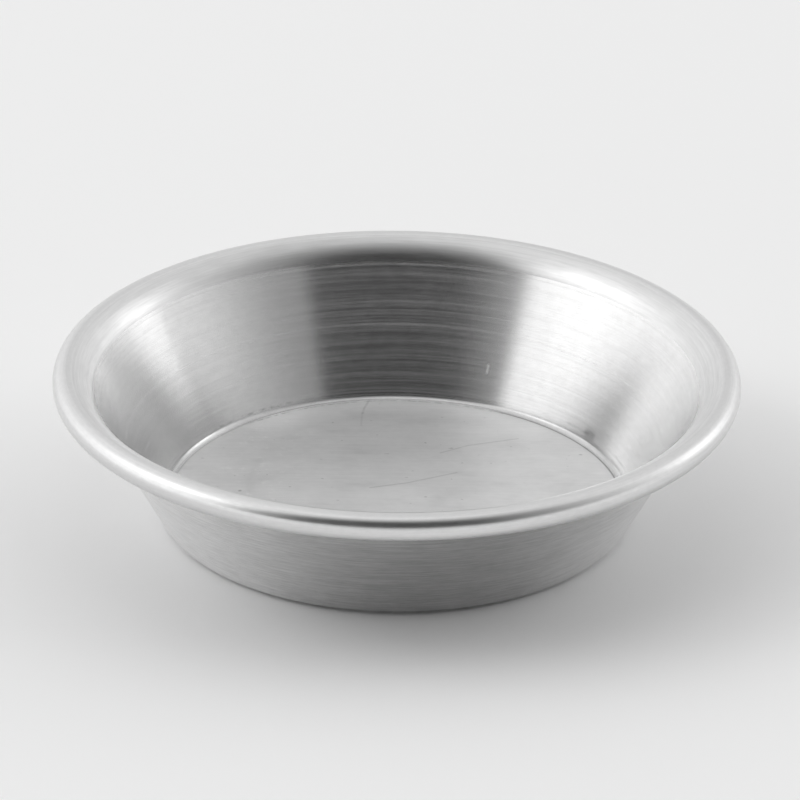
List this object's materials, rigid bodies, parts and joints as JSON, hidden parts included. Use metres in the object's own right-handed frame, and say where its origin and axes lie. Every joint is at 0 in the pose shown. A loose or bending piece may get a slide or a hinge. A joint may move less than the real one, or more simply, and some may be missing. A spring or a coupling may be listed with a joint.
{
  "type": "pie plate",
  "caption": "Small round aluminium pie plate with a flat base, a plain sloping wall that flares out at the top, and a rolled rim.",
  "frame": {"origin": "on the plate's axis, at the face that it rests on", "axes": "+Z is the axis of the plate and points out of its mouth; +X and +Y lie in the resting face"},
  "size_m": [0.127, 0.127, 0.0288],
  "materials": {
    "aluminium": "spun satin, bright on the rolled rim"
  },
  "bodies": {
    "root": {"pie_plate": "aluminium"}
  },
  "joints": []
}
